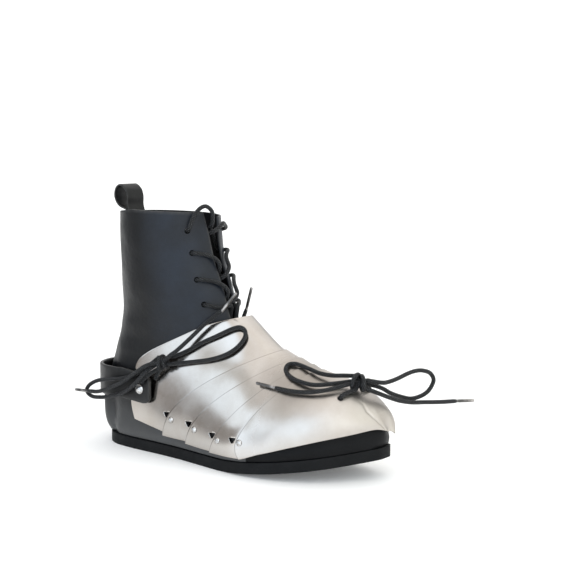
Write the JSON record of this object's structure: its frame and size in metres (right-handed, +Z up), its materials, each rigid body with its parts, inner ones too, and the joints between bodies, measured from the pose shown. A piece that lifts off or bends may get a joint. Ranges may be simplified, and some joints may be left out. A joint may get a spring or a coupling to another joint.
{
  "type": "sabaton on a laced ankle boot",
  "caption": "Right-foot armoured boot: laced leather ankle boot with a riveted, jointed steel sabaton over the foot, held by a heel strap and cord bows.",
  "frame": {"origin": "on the flat underside of the sole, 150 mm forward of the heel end, on the middle line", "axes": "+Z up, toe towards -Y, outer side of this right-foot boot towards -X"},
  "size_m": [0.1603, 0.3507, 0.2484],
  "materials": {
    "sole_leather": "matt near-black leather sole with a smooth cut edge",
    "boot_leather": "black smooth leather, dull sheen",
    "strap_leather": "black strap leather, dull sheen",
    "satin_steel": "satin polished steel with faint smudges",
    "rivet_steel": "bright dome rivets",
    "waxed_cord": "dark grey round waxed braid",
    "tip_metal": "dark metal lace tips"
  },
  "bodies": {
    "root": {"sole": "sole_leather", "vamp": "boot_leather", "quarter_outer": "boot_leather", "quarter_inner": "boot_leather", "pull_loop": "boot_leather", "lace_a": "waxed_cord", "lace_b": "waxed_cord", "instep_plate": "satin_steel", "lame_1": "satin_steel", "lame_2": "satin_steel", "lame_3": "satin_steel", "toe_plate": "satin_steel", "rivet_outer_1": "rivet_steel", "rivet_outer_2": "rivet_steel", "rivet_outer_3": "rivet_steel", "rivet_outer_4": "rivet_steel", "rivet_inner_1": "rivet_steel", "rivet_inner_2": "rivet_steel", "rivet_inner_3": "rivet_steel", "rivet_inner_4": "rivet_steel", "heel_strap": "strap_leather", "strap_rivet_outer": "rivet_steel", "strap_rivet_inner": "rivet_steel", "outer_bow_knot": "waxed_cord", "outer_bow_loop_a": "waxed_cord", "outer_bow_loop_b": "waxed_cord", "outer_bow_tail_a": "waxed_cord", "outer_bow_tail_b": "waxed_cord", "outer_bow_tip_a": "tip_metal", "outer_bow_tip_b": "tip_metal", "outer_bow_tie": "waxed_cord", "inner_bow_knot": "waxed_cord", "inner_bow_loop_a": "waxed_cord", "inner_bow_loop_b": "waxed_cord", "inner_bow_tail_a": "waxed_cord", "inner_bow_tail_b": "waxed_cord", "inner_bow_tip_a": "tip_metal", "inner_bow_tip_b": "tip_metal", "inner_bow_tie": "waxed_cord", "toe_bow_knot": "waxed_cord", "toe_bow_loop_a": "waxed_cord", "toe_bow_loop_b": "waxed_cord", "toe_bow_tail_a": "waxed_cord", "toe_bow_tail_b": "waxed_cord", "toe_bow_tip_a": "tip_metal", "toe_bow_tip_b": "tip_metal", "toe_bow_tie": "waxed_cord"}
  },
  "joints": []
}
